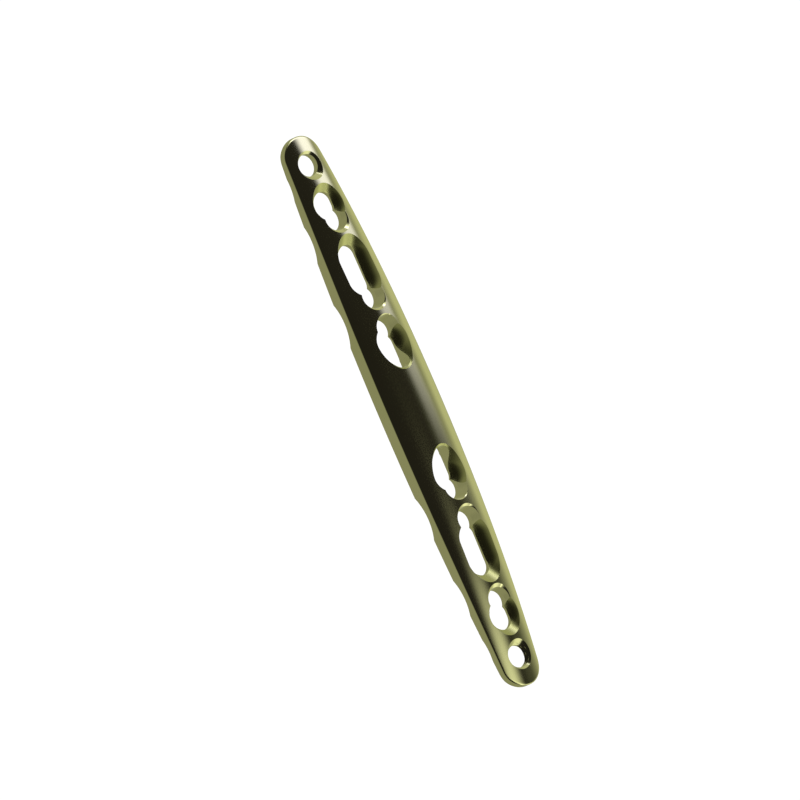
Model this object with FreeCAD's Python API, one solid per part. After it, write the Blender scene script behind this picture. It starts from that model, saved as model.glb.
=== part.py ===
import FreeCAD, Part
import math
import os

# Bone plate for a long bone, one milled piece of titanium, in millimetres.
# X runs along the plate, Y across it, Z up. The plate rests on Z = 0 with its two long lower edges,
# and the origin lies under its middle. Places along X are given for the +X half and mirrored.

# Outline seen from above: two long side arcs and two round ends
plate_length = 110.0
middle_width = 12.88
end_radius = 4.25

# Crowned top: an arc across the plate that is swept along a long arc
crown_height = 5.55
crown_side_drop = 2.71
crown_radius_along = 436.0
top_edge_rounding = 0.4

# Hollow underside, which leaves a narrow land along each lower edge
hollow_height = 1.5
hollow_end_height = 0.6
edge_land = 0.35

# Undercuts across the lower edges, between the holes
undercut_radius = 8.6
undercut_places = (19.35, 35.45, 46.2)
undercut_depths = (1.12, 0.78, 0.28)

# Locking bores: a short straight throat, a slim cone above it and a wider cone at the mouth
combi_throat_radius = 2.25
end_throat_radius = 2.12
throat_height = 0.9
bore_taper_deg = 7.0
mouth_radius = 2.86
combi_mouth_slope_deg = 42.0
end_mouth_slope_deg = 36.0
end_bore_place = 49.3

# Compression slots: upright walls below, and above them a seat milled with a ball-ended cutter,
# which leaves at one end up a ramp, so that a screw that is driven home pushes the plate along
slot_radius = 2.08
seat_radius = 3.6
seat_height = 3.31
ramp_angle_deg = 45.5

# Three combination holes on each half, each a locking bore that opens into a compression slot
inner_bore_place = 15.85
inner_slot_start = 10.03
inner_slot_end = 13.1
inner_seat_place = 13.35
long_bore_place = 22.5
long_slot_start = 25.2
long_slot_end = 31.0
long_seat_start = 26.0
long_seat_end = 30.2
outer_bore_place = 38.4
outer_slot_start = 40.9
outer_slot_end = 41.8
outer_seat_place = 41.3

# Slanted relief below the ramp of the inner slots, which lets a screw lean
relief_radius = 2.0
relief_angle_deg = 34.0
relief_place = 10.6
relief_height = 4.0

# How far a cutting tool reaches past the surface that it cuts
tool_overrun = 3.0

ALONG = FreeCAD.Vector(1, 0, 0)
ACROSS = FreeCAD.Vector(0, 1, 0)
UP = FreeCAD.Vector(0, 0, 1)


def point(x, y, z):
    return FreeCAD.Vector(x, y, z)


def arc_drop(radius, offset):
    """How far an arc falls below its top at a distance from its middle."""
    return radius - math.sqrt(radius ** 2 - offset ** 2)


half_length = plate_length / 2
half_width = middle_width / 2
crown_radius_across = (half_width ** 2 + crown_side_drop ** 2) / (2 * crown_side_drop)
end_centre = half_length - end_radius

# The side arc that touches both end circles and is half_width away from the middle line
side_radius = (half_width ** 2 + half_length ** 2 - 2 * end_radius * half_length) / (
    2 * (half_width - end_radius)
)


def side_at(x):
    """Half the width between the side arcs."""
    return half_width - arc_drop(side_radius, x)


def top_height(x):
    return crown_height - arc_drop(crown_radius_along, x)


def underside_height(x):
    fall = hollow_height - hollow_end_height
    return hollow_height - fall * (x / end_centre) ** 2


def outline_prism():
    """The outline, raised past the top."""
    side_centre_y = half_width - side_radius
    reach = side_radius - end_radius
    touch_x = end_centre + end_radius * end_centre / reach
    touch_y = -end_radius * side_centre_y / reach
    edges = [
        Part.Arc(point(-touch_x, touch_y, 0), point(0, half_width, 0), point(touch_x, touch_y, 0)),
        Part.Arc(point(touch_x, touch_y, 0), point(half_length, 0, 0), point(touch_x, -touch_y, 0)),
        Part.Arc(point(touch_x, -touch_y, 0), point(0, -half_width, 0), point(-touch_x, -touch_y, 0)),
        Part.Arc(point(-touch_x, -touch_y, 0), point(-half_length, 0, 0), point(-touch_x, touch_y, 0)),
    ]
    outline = Part.Wire([edge.toShape() for edge in edges])
    return Part.Face(outline).extrude(UP * (crown_height + tool_overrun))


def arch(x, reach, side, top):
    """A section across the plate at x: an arc from side to side over a flat foot."""
    arc = Part.Arc(point(x, -reach, side), point(x, 0, top), point(x, reach, side))
    foot = -tool_overrun
    corners = [point(x, reach, side), point(x, reach, foot), point(x, -reach, foot), point(x, -reach, side)]
    return Part.Wire([arc.toShape()] + Part.makePolygon(corners).Edges)


def arched_bar(section):
    """A bar through a section at the middle and one past each end."""
    far = half_length + tool_overrun
    return Part.makeLoft([section(x) for x in (-far, 0, far)], True, False)


def crown_section(x):
    reach = half_width + top_edge_rounding
    return arch(x, reach, top_height(x) - arc_drop(crown_radius_across, reach), top_height(x))


def hollow_section(x):
    return arch(x, side_at(x) - edge_land, 0, underside_height(x))


def blank():
    """The plate before its underside and its holes are cut."""
    body = outline_prism().common(arched_bar(crown_section))
    top_edges = [edge for edge in body.Edges if edge.BoundBox.ZMin > top_edge_rounding / 2]
    return body.makeFillet(top_edge_rounding, top_edges)


def undercut(x, depth):
    """A round-bottomed groove across the lower edges."""
    reach = half_width + tool_overrun
    centre = point(x, -reach, depth - undercut_radius)
    return Part.makeCylinder(undercut_radius, 2 * reach, centre, ACROSS)


def widening(x, start, radius, slope_deg, end):
    """A cone, upright at x, that has this radius at the height start and widens up to the height end."""
    slope = math.tan(math.radians(slope_deg))
    apex = start - radius / slope
    return Part.makeCone(0, (end - apex) * slope, end - apex, point(x, 0, apex), UP)


def locking_bore(x, throat_radius, mouth_slope_deg):
    """A round hole, upright at x, that widens in two steps to its mouth at the top."""
    sole = underside_height(x)
    low = sole - tool_overrun
    high = top_height(x) + tool_overrun
    throat = Part.makeCylinder(throat_radius, high - low, point(x, 0, low), UP)
    cone = widening(x, sole + throat_height, throat_radius, bore_taper_deg, high)
    mouth = widening(x, top_height(x), mouth_radius, mouth_slope_deg, high)
    return throat.fuse([cone, mouth])


def slot_prism(start, end, radius, foot):
    """A round-ended slot between two centres, open upwards."""
    height = crown_height + tool_overrun - foot
    slot = Part.makeCylinder(radius, height, point(start, 0, foot), UP)
    if end > start:
        slot = slot.fuse(Part.makeCylinder(radius, height, point(end, 0, foot), UP))
        slot = slot.fuse(Part.makeBox(end - start, 2 * radius, height, point(start, -radius, foot)))
    return slot.removeSplitter()


def ball_seat(start, end, ramp_way):
    """The path of a ball-ended cutter: level from start to end, then up a ramp towards ramp_way."""
    ramp_foot = end if ramp_way > 0 else start
    level = underside_height(ramp_foot) + seat_height
    seat = slot_prism(start, end, seat_radius, level)
    seat = seat.fuse(Part.makeSphere(seat_radius, point(start, 0, level)))
    if end > start:
        seat = seat.fuse(Part.makeCylinder(seat_radius, end - start, point(start, 0, level), ALONG))
        seat = seat.fuse(Part.makeSphere(seat_radius, point(end, 0, level)))
    slope = math.radians(ramp_angle_deg)
    climb = point(ramp_way * math.cos(slope), 0, math.sin(slope))
    ramp_length = 2 * seat_radius + tool_overrun
    return seat.fuse(Part.makeCylinder(seat_radius, ramp_length, point(ramp_foot, 0, level), climb))


def relief():
    """A slanted cut through the inner slot, further out below than above."""
    slant = math.radians(relief_angle_deg)
    reach = 2 * crown_height
    down = point(-math.sin(slant), 0, -math.cos(slant))
    start = point(relief_place, 0, relief_height) - down * 2 * relief_radius
    return Part.makeCylinder(relief_radius, reach, start, down)


def inner_hole():
    """The combination hole next to the middle, with its ramp towards the middle."""
    return [
        locking_bore(inner_bore_place, combi_throat_radius, combi_mouth_slope_deg),
        slot_prism(inner_slot_start, inner_slot_end, slot_radius, -tool_overrun),
        relief(),
        ball_seat(inner_seat_place, inner_seat_place, -1),
    ]


def long_hole():
    """The combination hole with the long slot, with its ramp towards the end."""
    return [
        locking_bore(long_bore_place, combi_throat_radius, combi_mouth_slope_deg),
        slot_prism(long_slot_start, long_slot_end, slot_radius, -tool_overrun),
        ball_seat(long_seat_start, long_seat_end, 1),
    ]


def outer_hole():
    """The combination hole next to the end bore, with its ramp towards the end."""
    return [
        locking_bore(outer_bore_place, combi_throat_radius, combi_mouth_slope_deg),
        slot_prism(outer_slot_start, outer_slot_end, slot_radius, -tool_overrun),
        ball_seat(outer_seat_place, outer_seat_place, 1),
    ]


def end_hole():
    """The locking bore near the end."""
    return [locking_bore(end_bore_place, end_throat_radius, end_mouth_slope_deg)]


def mirrored(shape):
    return shape.mirror(point(0, 0, 0), ALONG)


def plate():
    cuts = [undercut(x, depth) for x, depth in zip(undercut_places, undercut_depths)]
    cuts += inner_hole() + long_hole() + outer_hole() + end_hole()
    body = blank().cut(arched_bar(hollow_section))
    for cut in cuts:
        body = body.cut(cut)
        body = body.cut(mirrored(cut))
    return body.removeSplitter()


os.makedirs("parts", exist_ok=True)
shape = plate()
if len(shape.Solids) == 1:
    shape = shape.Solids[0]
shape.exportStep("parts/plate.step")
print("valid", shape.isValid(), "type", shape.ShapeType, "faces", len(shape.Faces))
print("volume mm3", round(shape.Volume, 1))
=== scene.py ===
import bpy
import math
from mathutils import Matrix, Vector


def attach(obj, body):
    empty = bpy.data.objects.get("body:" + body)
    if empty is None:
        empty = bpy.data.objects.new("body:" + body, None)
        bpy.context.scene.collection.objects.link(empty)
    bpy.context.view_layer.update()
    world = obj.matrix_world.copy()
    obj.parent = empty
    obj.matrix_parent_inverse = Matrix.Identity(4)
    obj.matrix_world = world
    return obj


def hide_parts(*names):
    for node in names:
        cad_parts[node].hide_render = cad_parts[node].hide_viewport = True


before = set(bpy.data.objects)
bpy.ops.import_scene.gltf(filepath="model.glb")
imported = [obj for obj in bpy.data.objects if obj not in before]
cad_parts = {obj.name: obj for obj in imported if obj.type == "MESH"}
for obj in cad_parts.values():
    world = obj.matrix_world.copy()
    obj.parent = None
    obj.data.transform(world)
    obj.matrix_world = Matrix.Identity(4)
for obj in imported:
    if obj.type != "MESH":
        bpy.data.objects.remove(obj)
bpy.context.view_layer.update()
bpy.ops.object.select_all(action="DESELECT")

# The plate's own sizes, in metres: X along the plate, Y across, Z up, and it rests on Z = 0
MM = 0.001
PLATE_LENGTH = 110.0 * MM
MIDDLE_WIDTH = 12.88 * MM
END_RADIUS = 4.25 * MM
CROWN_HEIGHT = 5.55 * MM
CROWN_SIDE_DROP = 2.71 * MM
CROWN_RADIUS_ALONG = 436.0 * MM
TOP_EDGE_ROUNDING = 0.4 * MM
HOLLOW_HEIGHT = 1.5 * MM
HOLLOW_END_HEIGHT = 0.6 * MM
EDGE_LAND = 0.35 * MM
UNDERCUT_RADIUS = 8.6 * MM
UNDERCUTS = ((19.35 * MM, 1.12 * MM), (35.45 * MM, 0.78 * MM), (46.2 * MM, 0.28 * MM))
OVERRUN = 3.0 * MM

COMBI_THROAT_RADIUS = 2.25 * MM
END_THROAT_RADIUS = 2.12 * MM
THROAT_HEIGHT = 0.9 * MM
BORE_TAPER = math.radians(7.0)
COMBI_MOUTH_SLOPE = math.radians(42.0)
END_MOUTH_SLOPE = math.radians(36.0)
MOUTH_RADIUS = 2.86 * MM
SLOT_RADIUS = 2.08 * MM
SEAT_RADIUS = 3.6 * MM
SEAT_HEIGHT = 3.31 * MM
RAMP_ANGLE = math.radians(45.5)
RELIEF_RADIUS = 2.0 * MM
RELIEF_ANGLE = math.radians(34.0)
RELIEF_PLACE = 10.6 * MM
RELIEF_HEIGHT = 4.0 * MM
END_BORE = 49.3 * MM
# Each combination hole: bore, slot start, slot end, seat start, seat end, way of the ramp
INNER_HOLE = (15.85 * MM, 10.03 * MM, 13.1 * MM, 13.35 * MM, 13.35 * MM, -1)
LONG_HOLE = (22.5 * MM, 25.2 * MM, 31.0 * MM, 26.0 * MM, 30.2 * MM, 1)
OUTER_HOLE = (38.4 * MM, 40.9 * MM, 41.8 * MM, 41.3 * MM, 41.3 * MM, 1)
# Thread of the bore at the +X end: it rises over the first share of a pitch and falls over the rest
THREAD_PITCH = 0.6 * MM
THREAD_DEPTH = 0.3 * MM
THREAD_RISE = 0.8
THREAD_FALL = 0.2

HALF_LENGTH = PLATE_LENGTH / 2
HALF_WIDTH = MIDDLE_WIDTH / 2
CROWN_RADIUS_ACROSS = (HALF_WIDTH ** 2 + CROWN_SIDE_DROP ** 2) / (2 * CROWN_SIDE_DROP)
END_CENTRE = HALF_LENGTH - END_RADIUS
SIDE_RADIUS = (HALF_WIDTH ** 2 + HALF_LENGTH ** 2 - 2 * END_RADIUS * HALF_LENGTH) / (
    2 * (HALF_WIDTH - END_RADIUS)
)

# Distances in metres below which vertices are merged and slivers dissolved, in a new grid and at the end
GRID_MERGE = 1e-7
GRID_SLIVER = 1e-8
MILLED_MERGE = 2e-6
MILLED_SLIVER = 1e-6
SMOOTH_ANGLE = math.radians(24)


def arc_drop(radius, offset):
    """How far an arc falls below its top at a distance from its middle."""
    return radius - math.sqrt(radius ** 2 - offset ** 2)


def crown_at(x, y):
    """Height of the crowned top."""
    return CROWN_HEIGHT - arc_drop(CROWN_RADIUS_ALONG, x) - arc_drop(CROWN_RADIUS_ACROSS, y)


def underside_at(x):
    """Height of the hollow over the middle line."""
    return HOLLOW_HEIGHT - (HOLLOW_HEIGHT - HOLLOW_END_HEIGHT) * (x / END_CENTRE) ** 2


def deselect():
    if bpy.context.object is not None and bpy.context.object.mode != "OBJECT":
        bpy.ops.object.mode_set(mode="OBJECT")
    bpy.ops.object.select_all(action="DESELECT")


def grid_piece(name, columns, rows, place):
    """A grid primitive whose vertices are set in place by column and row, then closed by merging."""
    deselect()
    bpy.ops.mesh.primitive_grid_add(x_subdivisions=columns, y_subdivisions=rows, size=2)
    piece = bpy.context.object
    piece.name = name
    for vertex in piece.data.vertices:
        column = round((vertex.co.x + 1) / 2 * columns)
        row = round((vertex.co.y + 1) / 2 * rows)
        vertex.co = place(column, row)
    bpy.ops.object.mode_set(mode="EDIT")
    bpy.ops.mesh.select_all(action="SELECT")
    bpy.ops.mesh.remove_doubles(threshold=GRID_MERGE)
    bpy.ops.mesh.dissolve_degenerate(threshold=GRID_SLIVER)
    bpy.ops.mesh.select_all(action="SELECT")
    bpy.ops.mesh.normals_make_consistent(inside=False)
    bpy.ops.object.mode_set(mode="OBJECT")
    return piece


def joined(name, pieces):
    deselect()
    for piece in pieces:
        piece.select_set(True)
    bpy.context.view_layer.objects.active = pieces[0]
    if len(pieces) > 1:
        bpy.ops.object.join()
    piece = bpy.context.object
    piece.name = name
    return piece


def cut(piece, cutter):
    """Takes the cutter out of the piece and removes the cutter."""
    deselect()
    piece.select_set(True)
    bpy.context.view_layer.objects.active = piece
    step = piece.modifiers.new("cut", "BOOLEAN")
    step.operation = "DIFFERENCE"
    step.solver = "EXACT"
    step.material_mode = "TRANSFER"
    step.object = cutter
    bpy.ops.object.modifier_apply(modifier=step.name)
    bpy.data.objects.remove(cutter, do_unlink=True)


# Stations round the outline: the two long sides, and the two round ends
SIDE_STEPS = 220
END_STEPS = 36
TOUCH = math.asin(END_CENTRE / (SIDE_RADIUS - END_RADIUS))


def outline_station(k):
    """A point of the outline, and the point on the middle line that it faces."""
    lap = 2 * (SIDE_STEPS + END_STEPS)
    k = k % lap
    half = 1
    if k >= lap // 2:
        k -= lap // 2
        half = -1
    if k < SIDE_STEPS:
        turn = TOUCH - 2 * TOUCH * k / SIDE_STEPS
        x = SIDE_RADIUS * math.sin(turn)
        y = HALF_WIDTH - SIDE_RADIUS + SIDE_RADIUS * math.cos(turn)
        centre = (SIDE_RADIUS - HALF_WIDTH) * math.tan(turn)
    else:
        turn = -TOUCH - (math.pi - 2 * TOUCH) * (k - SIDE_STEPS) / END_STEPS
        x = -END_CENTRE + END_RADIUS * math.sin(turn)
        y = END_RADIUS * math.cos(turn)
        centre = -END_CENTRE
    return Vector((half * x, half * y, 0)), Vector((half * centre, 0, 0))


CROWN_STEPS = 22
ROUNDING_STEPS = 8
WALL_STEPS = 4
# The place where the rounding touches the crown is found in a few rounds, from the slope over a short step
TOUCH_ROUNDS = 6
SLOPE_STEP = 0.01 * MM


def section(k):
    """The section from the middle line of the top over the rounded edge and down to the middle line below."""
    rim, middle = outline_station(k)
    reach = (middle - rim).length
    inward = (middle - rim) / reach

    def crown(inset):
        spot = rim + inward * inset
        return crown_at(spot.x, spot.y)

    touch = TOP_EDGE_ROUNDING
    for _ in range(TOUCH_ROUNDS):
        tilt = math.atan2(crown(touch + SLOPE_STEP) - crown(touch - SLOPE_STEP), 2 * SLOPE_STEP)
        touch = TOP_EDGE_ROUNDING * (1 - math.sin(tilt))
    ball = crown(touch) - TOP_EDGE_ROUNDING * math.cos(tilt)
    points = []
    for i in range(CROWN_STEPS):
        share = i / CROWN_STEPS
        inset = reach + (touch - reach) * share
        points.append((inset, crown(inset)))
    for i in range(ROUNDING_STEPS + 1):
        angle = (math.pi / 2 - tilt) * (1 - i / ROUNDING_STEPS)
        points.append((TOP_EDGE_ROUNDING * (1 - math.cos(angle)), ball + TOP_EDGE_ROUNDING * math.sin(angle)))
    for i in range(1, WALL_STEPS + 1):
        points.append((0, ball * (1 - i / WALL_STEPS)))
    points.append((reach, 0))
    return [Vector((rim.x + inward.x * inset, rim.y + inward.y * inset, height)) for inset, height in points]


def plate_blank():
    lap = 2 * (SIDE_STEPS + END_STEPS)
    sections = [section(k) for k in range(lap)]
    return grid_piece("plate", lap, len(sections[0]) - 1, lambda column, row: sections[column % lap][row])


def ring_piece(name, rows, columns, spot):
    """A closed form: one ring of vertices to a row, the first and last row drawn in to a point or a line."""
    return grid_piece(name, columns, rows - 1, lambda column, row: spot(row, column % columns))


# The arch of the hollow goes on past its feet by this factor
ARCH_OVERLAP = 1.06
UNDERCUT_SIDES = 360
RELIEF_SIDES = 128


def hollow_cutter():
    """The shallow arch that is milled along the underside."""
    arc_steps = 72
    length_steps = 120
    far = HALF_LENGTH + OVERRUN

    def spot(row, column):
        x = -far + 2 * far * min(max(row - 1, 0), length_steps) / length_steps
        reach = HALF_WIDTH - arc_drop(SIDE_RADIUS, far) * (x / far) ** 2 - EDGE_LAND
        top = HOLLOW_HEIGHT + (underside_at(far) - HOLLOW_HEIGHT) * (x / far) ** 2
        if row == 0 or row == length_steps + 2:
            return Vector((x, 0, -OVERRUN / 2))
        radius = (reach ** 2 + top ** 2) / (2 * top)
        half_angle = math.asin(reach / radius) * ARCH_OVERLAP
        if column > arc_steps:
            side = radius * math.sin(half_angle)
            return Vector((x, side if column == arc_steps + 1 else -side, -OVERRUN))
        angle = half_angle * (2 * column / arc_steps - 1)
        return Vector((x, radius * math.sin(angle), top - radius + radius * math.cos(angle)))

    return ring_piece("hollow", length_steps + 3, arc_steps + 3, spot)


def undercut_cutter(x, depth):
    """A round bar across the lower edges."""
    deselect()
    bpy.ops.mesh.primitive_cylinder_add(
        vertices=UNDERCUT_SIDES, radius=UNDERCUT_RADIUS, depth=MIDDLE_WIDTH + 2 * OVERRUN,
        location=(x, 0, depth - UNDERCUT_RADIUS), rotation=(math.pi / 2, 0, 0),
    )
    bpy.ops.object.transform_apply(location=True, rotation=True, scale=True)
    return bpy.context.object


TURN_STEPS = 112
# A cosine this near to nothing is taken as nothing
LEVEL_COSINE = 1e-6


def stretched(x, way, length, radius, angle):
    """A point at this radius and angle, with the half away from the ramp drawn out along the plate."""
    cosine = math.cos(angle)
    back = length if cosine < -LEVEL_COSINE else 0
    return x + way * (radius * cosine - back), radius * math.sin(angle)


def slot_cutter(start, end, half, way):
    """The upright slot."""
    near, far = (start, end) if way > 0 else (end, start)
    heights = (-OVERRUN, -OVERRUN, CROWN_HEIGHT + OVERRUN, CROWN_HEIGHT + OVERRUN)
    radii = (0, SLOT_RADIUS, SLOT_RADIUS, 0)

    def spot(row, column):
        angle = 2 * math.pi * column / TURN_STEPS
        x, y = stretched(half * far, half * way, abs(far - near), radii[row], angle)
        return Vector((x, y, heights[row]))

    return ring_piece("slot", len(radii), TURN_STEPS, spot)


def seat_cutter(start, end, half, way):
    """The path of a ball-ended tool: level along the slot, then up the ramp."""
    foot = end if way > 0 else start
    level = underside_at(foot) + SEAT_HEIGHT
    ball_steps = 44
    rise_steps = 36
    top = CROWN_HEIGHT + OVERRUN / 2 - level
    sine, cosine = math.sin(RAMP_ANGLE), math.cos(RAMP_ANGLE)

    def reach(angle, height):
        bullet = math.sqrt(max(SEAT_RADIUS ** 2 - min(height, 0) ** 2, 0))
        centre = height * cosine / sine
        a = (math.cos(angle) * sine) ** 2 + math.sin(angle) ** 2
        b = -2 * centre * sine ** 2 * math.cos(angle)
        c = (centre * sine) ** 2 - SEAT_RADIUS ** 2
        inside = b * b - 4 * a * c
        if inside < 0:
            return bullet
        slanted = (-b + math.sqrt(inside)) / (2 * a)
        if slanted * math.cos(angle) * cosine + height * sine < 0:
            return bullet
        return max(bullet, slanted)

    def spot(row, column):
        if row <= ball_steps:
            height = -SEAT_RADIUS * math.cos(math.pi / 2 * row / ball_steps)
        else:
            height = top * min(row - ball_steps, rise_steps) / rise_steps
        angle = 2 * math.pi * column / TURN_STEPS
        radius = 0 if row in (0, ball_steps + rise_steps + 1) else reach(angle, height)
        x, y = stretched(half * foot, half * way, end - start, radius, angle)
        return Vector((x, y, level + height))

    return ring_piece("seat", ball_steps + rise_steps + 2, TURN_STEPS, spot)


def relief_cutter(half):
    """The slanted cut under the ramp of the inner slot."""
    deselect()
    bpy.ops.mesh.primitive_cylinder_add(
        vertices=RELIEF_SIDES, radius=RELIEF_RADIUS, depth=2 * CROWN_HEIGHT,
        location=(half * RELIEF_PLACE, 0, RELIEF_HEIGHT), rotation=(0, half * RELIEF_ANGLE, 0),
    )
    bpy.ops.object.transform_apply(location=True, rotation=True, scale=True)
    return bpy.context.object


BORE_STEPS = 72
ROWS_PER_PITCH = 8
BORE_OVERRUN = 0.6 * MM


def bore_cutter(place, half, throat_radius, mouth_slope, thread_depth):
    """Throat, cone and mouth in one, with a thread of this depth, or none, on throat and cone."""
    sole = underside_at(place)
    head = crown_at(place, 0)
    low = sole - BORE_OVERRUN
    high = head + BORE_OVERRUN
    rows = round((high - low) / (THREAD_PITCH / ROWS_PER_PITCH))

    def profile(height, angle):
        wall = throat_radius + max(height - sole - THROAT_HEIGHT, 0) * math.tan(BORE_TAPER)
        phase = (height / THREAD_PITCH - angle / (2 * math.pi)) % 1
        wall += thread_depth * min(phase / THREAD_RISE, (1 - phase) / THREAD_FALL)
        return max(wall, MOUTH_RADIUS + (height - head) * math.tan(mouth_slope))

    def spot(row, column):
        height = low + (high - low) * min(max(row - 1, 0), rows) / rows
        angle = 2 * math.pi * column / BORE_STEPS
        radius = 0 if row in (0, rows + 2) else profile(height, angle)
        return Vector((half * place + radius * math.cos(angle), radius * math.sin(angle), height))

    return ring_piece("bore", rows + 3, BORE_STEPS, spot)


def milled_plate(body_finish, seat_finish_with_painted_shade):
    """The blank with its hollow, undercuts, slots, reliefs, seats and bores cut, in this order."""
    plate = plate_blank()
    plate.data.materials.append(body_finish)
    cut(plate, hollow_cutter())
    for x, depth in UNDERCUTS:
        cut(plate, undercut_cutter(x, depth))
        cut(plate, undercut_cutter(-x, depth))
    slots, reliefs, seats, bores = [], [], [], []
    for half in (1, -1):
        reliefs.append(relief_cutter(half))
        for bore, slot_start, slot_end, seat_start, seat_end, way in (INNER_HOLE, LONG_HOLE, OUTER_HOLE):
            slots.append(slot_cutter(slot_start, slot_end, half, way))
            seats.append(seat_cutter(seat_start, seat_end, half, way))
            bores.append(bore_cutter(bore, half, COMBI_THROAT_RADIUS, COMBI_MOUTH_SLOPE, 0))
        thread_depth = THREAD_DEPTH if half > 0 else 0
        bores.append(bore_cutter(END_BORE, half, END_THROAT_RADIUS, END_MOUTH_SLOPE, thread_depth))
    cut(plate, joined("slots", slots))
    cut(plate, joined("reliefs", reliefs))
    seat_cutters = joined("seats", seats)
    # The seats take the darker finish: painted shade in the recesses
    seat_cutters.data.materials.append(seat_finish_with_painted_shade)
    cut(plate, seat_cutters)
    cut(plate, joined("bores", bores))
    return plate


def finished(piece):
    """Tidies the milled mesh and smooths it over all but its real edges."""
    deselect()
    piece.select_set(True)
    bpy.context.view_layer.objects.active = piece
    bpy.ops.object.mode_set(mode="EDIT")
    bpy.ops.mesh.select_all(action="SELECT")
    bpy.ops.mesh.remove_doubles(threshold=MILLED_MERGE)
    bpy.ops.mesh.dissolve_degenerate(threshold=MILLED_SLIVER)
    bpy.ops.object.mode_set(mode="OBJECT")
    bpy.ops.object.shade_smooth_by_angle(angle=SMOOTH_ANGLE)
    deselect()
    return piece


def node(tree, kind, **values):
    made = tree.nodes.new(kind)
    for key, value in values.items():
        setattr(made, key, value)
    return made


SPECULAR_TINT = (0.85, 0.86, 0.62, 1)
DRIFT_SCALE = 90.0
DRIFT_DETAIL = 2.0
DRIFT_LOW = 0.3
DRIFT_HIGH = 0.7
GRAIN_SCALE = 2600.0
GRAIN_DETAIL = 3.0
GRAIN_STRENGTH = 0.006
GRAIN_HEIGHT = 0.02 * MM


def titanium(name, dark_tone, light_tone, low_roughness, high_roughness):
    """Anodised titanium with a faint drift of tone between two colours and a very fine grain."""
    material = bpy.data.materials.new(name)
    material.use_nodes = True
    tree = material.node_tree
    shader = tree.nodes["Principled BSDF"]
    shader.inputs["Metallic"].default_value = 1.0
    shader.inputs["Specular Tint"].default_value = SPECULAR_TINT
    where = node(tree, "ShaderNodeTexCoord")
    drift = node(tree, "ShaderNodeTexNoise")
    drift.inputs["Scale"].default_value = DRIFT_SCALE
    drift.inputs["Detail"].default_value = DRIFT_DETAIL
    tone = node(tree, "ShaderNodeValToRGB")
    tone.color_ramp.elements[0].position = DRIFT_LOW
    tone.color_ramp.elements[0].color = dark_tone
    tone.color_ramp.elements[1].position = DRIFT_HIGH
    tone.color_ramp.elements[1].color = light_tone
    tree.links.new(where.outputs["Object"], drift.inputs["Vector"])
    tree.links.new(drift.outputs["Fac"], tone.inputs["Fac"])
    tree.links.new(tone.outputs["Color"], shader.inputs["Base Color"])
    grain = node(tree, "ShaderNodeTexNoise")
    grain.inputs["Scale"].default_value = GRAIN_SCALE
    grain.inputs["Detail"].default_value = GRAIN_DETAIL
    roughness = node(tree, "ShaderNodeMapRange")
    roughness.inputs["To Min"].default_value = low_roughness
    roughness.inputs["To Max"].default_value = high_roughness
    bump = node(tree, "ShaderNodeBump")
    bump.inputs["Strength"].default_value = GRAIN_STRENGTH
    bump.inputs["Distance"].default_value = GRAIN_HEIGHT
    tree.links.new(where.outputs["Object"], grain.inputs["Vector"])
    tree.links.new(grain.outputs["Fac"], roughness.inputs["Value"])
    tree.links.new(roughness.outputs["Result"], shader.inputs["Roughness"])
    tree.links.new(grain.outputs["Fac"], bump.inputs["Height"])
    tree.links.new(bump.outputs["Normal"], shader.inputs["Normal"])
    return material


polished = titanium(
    "polished titanium",
    dark_tone=(0.495, 0.500, 0.205, 1), light_tone=(0.525, 0.525, 0.225, 1),
    low_roughness=0.14, high_roughness=0.16,
)
# The seats' finish is rougher, as milled, and darker in colour as painted shade in the recessed seats
milled = titanium(
    "milled titanium with painted shade",
    dark_tone=(0.350, 0.365, 0.115, 1), light_tone=(0.370, 0.380, 0.125, 1),
    low_roughness=0.30, high_roughness=0.34,
)
plate = finished(milled_plate(polished, milled))
plate.visible_glossy = False
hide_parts("plate")
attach(plate, "root")


# The stage glows by itself a little over white
STAGE_GLOW = 1.06
FLOOR_SIZE = 3.0
BACKDROP_RADIUS = 4.0


def staged(name, piece, finish):
    """A plain surface of the stage, not mirrored in the plate: the light from below is part of the studio."""
    piece.name = name
    piece.visible_glossy = False
    piece.data.materials.append(finish)


def pale_stage():
    """The white floor, and a white backdrop all round."""
    finish = bpy.data.materials.new("matt white")
    finish.use_nodes = True
    tree = finish.node_tree
    tree.nodes.remove(tree.nodes["Principled BSDF"])
    glow = node(tree, "ShaderNodeEmission")
    glow.inputs["Strength"].default_value = STAGE_GLOW
    tree.links.new(glow.outputs["Emission"], tree.nodes["Material Output"].inputs["Surface"])
    deselect()
    bpy.ops.mesh.primitive_plane_add(size=FLOOR_SIZE, location=(0, 0, 0))
    staged("floor", bpy.context.object, finish)
    deselect()
    bpy.ops.mesh.primitive_uv_sphere_add(
        segments=64, ring_count=32, radius=BACKDROP_RADIUS, location=(0, 0, 0),
    )
    staged("backdrop", bpy.context.object, finish)


def smooth_step(tree, value, low, high):
    """0 to 1 as the value goes from low to high."""
    step = node(tree, "ShaderNodeMapRange", interpolation_type="SMOOTHSTEP")
    step.inputs["From Min"].default_value = low
    step.inputs["From Max"].default_value = high
    tree.links.new(value, step.inputs["Value"])
    return step.outputs["Result"]


def times(tree, *values):
    """The product of the values."""
    product = values[0]
    for value in values[1:]:
        step = node(tree, "ShaderNodeMath", operation="MULTIPLY")
        tree.links.new(product, step.inputs[0])
        tree.links.new(value, step.inputs[1])
        product = step.outputs["Value"]
    return product


def soft_light(tree, total, share, colour):
    """Adds a light of this colour, which shines by the given share, to the total."""
    light = node(tree, "ShaderNodeVectorMath", operation="SCALE")
    light.inputs["Vector"].default_value = colour
    tree.links.new(share, light.inputs["Scale"])
    step = node(tree, "ShaderNodeVectorMath", operation="ADD")
    tree.links.new(total, step.inputs[0])
    tree.links.new(light.outputs["Vector"], step.inputs[1])
    return step.outputs["Vector"]


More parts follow.
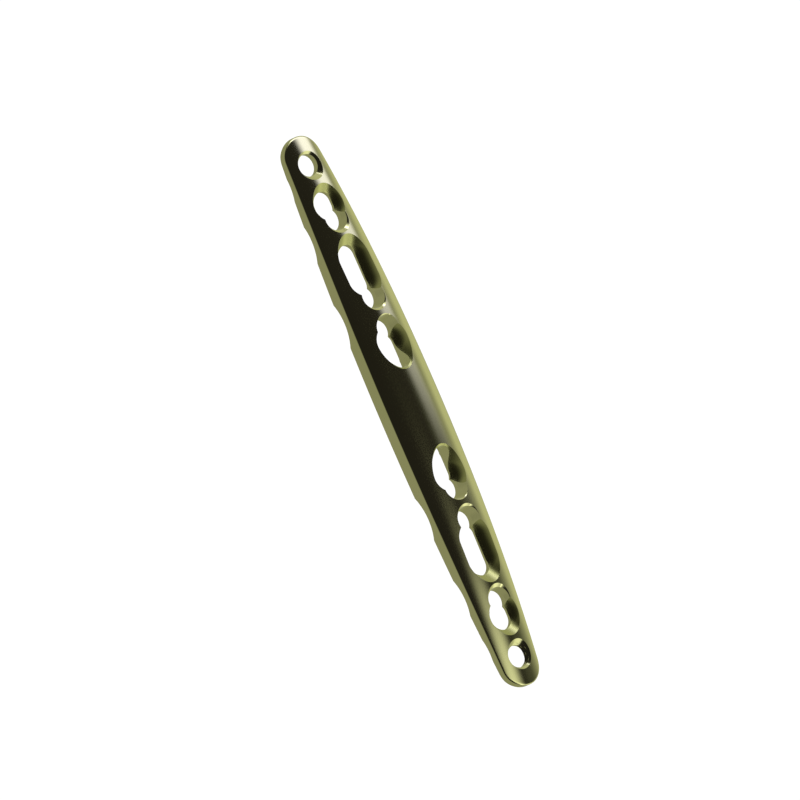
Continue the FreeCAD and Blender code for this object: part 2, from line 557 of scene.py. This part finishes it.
def light_share(tree, along, rising, lean, reach, rise, fall):
    """How strongly a light shines: 0 to 1 along the plate, times 0 to 1 and back to 0 over the lean."""
    return times(
        tree,
        smooth_step(tree, along, *reach),
        smooth_step(tree, rising, *[math.radians(degrees) for degrees in rise]),
        smooth_step(tree, lean, *[math.radians(degrees) for degrees in fall]),
    )


# Level of the soft light by its lean, in degrees from straight up: negative to the near side
SKY_LEVELS = (
    (-180, 1.1), (-136, 1.1), (-122, 0.85), (-108, 0.5), (-96, 0.22), (-84, 0.055), (0, 0.07),
    (20, 0.085), (30, 0.13), (38, 0.21), (50, 0.27), (56, 0.38), (65, 0.72), (74, 1.1), (82, 1.6),
    (92, 2.1), (110, 2.1), (130, 1.3), (180, 1.06),
)
# Where the level is below this, the light is tinted
DARK_LEVEL = 0.1
DARK_TINT = (1, 0.9, 1.15)
# The colour ramp holds the levels divided by this
LEVEL_DIVISOR = 2
SPARE_PLACE = 0.5
# The left light's lower edge slants over the length by this much
LEFT_SLANT = -0.6
STUDIO_STRENGTH = 0.82


def studio():
    """Soft light from all round: dark overhead, bright low down behind, and four soft lights."""
    world = bpy.data.worlds.new("studio")
    bpy.context.scene.world = world
    world.use_nodes = True
    tree = world.node_tree
    background = tree.nodes["Background"]
    where = node(tree, "ShaderNodeTexCoord")
    split = node(tree, "ShaderNodeSeparateXYZ")
    tree.links.new(where.outputs["Generated"], split.inputs["Vector"])
    along = split.outputs["X"]
    # Angle from straight up, over to the far side (positive) or the near side (negative)
    lean = node(tree, "ShaderNodeMath", operation="ARCTAN2")
    tree.links.new(split.outputs["Y"], lean.inputs[0])
    tree.links.new(split.outputs["Z"], lean.inputs[1])
    lean = lean.outputs["Value"]
    turn = node(tree, "ShaderNodeMapRange")
    turn.inputs["From Min"].default_value = -math.pi
    turn.inputs["From Max"].default_value = math.pi
    tree.links.new(lean, turn.inputs["Value"])
    sky = node(tree, "ShaderNodeValToRGB")
    ramp = sky.color_ramp
    while len(ramp.elements) < len(SKY_LEVELS):
        ramp.elements.new(SPARE_PLACE)
    for element, (degrees, level) in zip(ramp.elements, SKY_LEVELS):
        element.position = (degrees + 180) / 360
        tint = DARK_TINT if level < DARK_LEVEL else (1, 1, 1)
        element.color = (*[share * level / LEVEL_DIVISOR for share in tint], 1)
    tree.links.new(turn.outputs["Result"], sky.inputs["Fac"])
    slanted = node(tree, "ShaderNodeMath", operation="MULTIPLY_ADD")
    tree.links.new(along, slanted.inputs[0])
    slanted.inputs[1].default_value = LEFT_SLANT
    tree.links.new(lean, slanted.inputs[2])
    slanted = slanted.outputs["Value"]
    left = light_share(tree, along, slanted, lean, reach=(0.06, -0.22), rise=(28, 50), fall=(75, 58))
    right = light_share(tree, along, lean, lean, reach=(0.09, 0.27), rise=(-27, -5), fall=(25, -2))
    left_end = light_share(tree, along, lean, lean, reach=(-0.65, -0.9), rise=(-50, -15), fall=(75, 30))
    right_end = light_share(tree, along, lean, lean, reach=(0.6, 0.8), rise=(-50, -15), fall=(130, 100))
    total = soft_light(tree, sky.outputs["Color"], left, (2.5, 2.4, 4.5))
    total = soft_light(tree, total, right, (2.05, 2.05, 2.2))
    total = soft_light(tree, total, left_end, (2.1, 2.1, 2.5))
    total = soft_light(tree, total, right_end, (1.0, 1.0, 1.1))
    tree.links.new(total, background.inputs["Color"])
    background.inputs["Strength"].default_value = STUDIO_STRENGTH


# The line of sight leans by this angle, and the plate's length runs down the picture in this direction
VIEW_TILT = math.radians(36.5)
VIEW_ALONG = 0.39342417
VIEW_ACROSS = 0.91935707
PIXELS_PER_METRE = 5414.0
# Pixels: the picture's side, the spot where the plate's middle was first measured, and its correction
PICTURE = 800
MIDDLE_X = 410.1
MIDDLE_Y = 411.6
SHIFT_ALONG = 0.2
SHIFT_ACROSS = -2.75
CAMERA_DISTANCE = 0.5
CAMERA_REACH = 10


def camera():
    """Straight down the photograph's line of sight, with no perspective."""
    c, s = math.cos(VIEW_TILT), math.sin(VIEW_TILT)
    along = Vector((1, 0, 0))
    across = Vector((0, c, s))
    towards = Vector((0, -s, c))
    right = along * VIEW_ALONG + across * VIEW_ACROSS
    down = along * VIEW_ACROSS - across * VIEW_ALONG
    px = MIDDLE_X + SHIFT_ALONG * VIEW_ALONG + SHIFT_ACROSS * VIEW_ACROSS
    py = MIDDLE_Y + SHIFT_ALONG * VIEW_ACROSS - SHIFT_ACROSS * VIEW_ALONG
    spot = right * ((PICTURE / 2 - px) / PIXELS_PER_METRE)
    spot += down * ((PICTURE / 2 - py) / PIXELS_PER_METRE) + towards * CAMERA_DISTANCE
    data = bpy.data.cameras.new("camera")
    data.type = "ORTHO"
    data.ortho_scale = PICTURE / PIXELS_PER_METRE
    data.clip_end = CAMERA_REACH
    holder = bpy.data.objects.new("camera", data)
    bpy.context.scene.collection.objects.link(holder)
    turn = Matrix((right, -down, towards)).transposed().to_4x4()
    turn.translation = spot
    holder.matrix_world = turn
    bpy.context.scene.camera = holder


pale_stage()
studio()
camera()
bpy.context.scene.view_settings.view_transform = "Standard"
